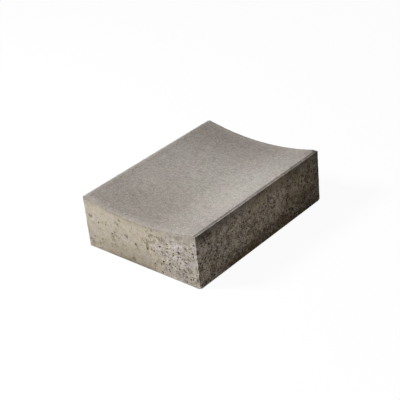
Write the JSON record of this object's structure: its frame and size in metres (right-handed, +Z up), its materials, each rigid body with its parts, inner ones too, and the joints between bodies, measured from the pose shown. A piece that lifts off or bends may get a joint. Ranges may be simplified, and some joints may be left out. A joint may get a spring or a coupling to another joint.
{
  "type": "concrete drainage gutter block",
  "caption": "Rectangular pressed concrete block with a shallow dished channel along its top, laid end to end to carry surface water along a path or road edge.",
  "frame": {"origin": "middle of the underside", "axes": "+Y along the channel, in the direction of flow; +X across it; +Z up, out of the channel"},
  "size_m": [0.3, 0.4, 0.12],
  "materials": {
    "concrete": "dry pressed grey concrete, fine sandy top, open pores on the moulded sides"
  },
  "bodies": {
    "root": {"gutter_block": "concrete"}
  },
  "joints": []
}
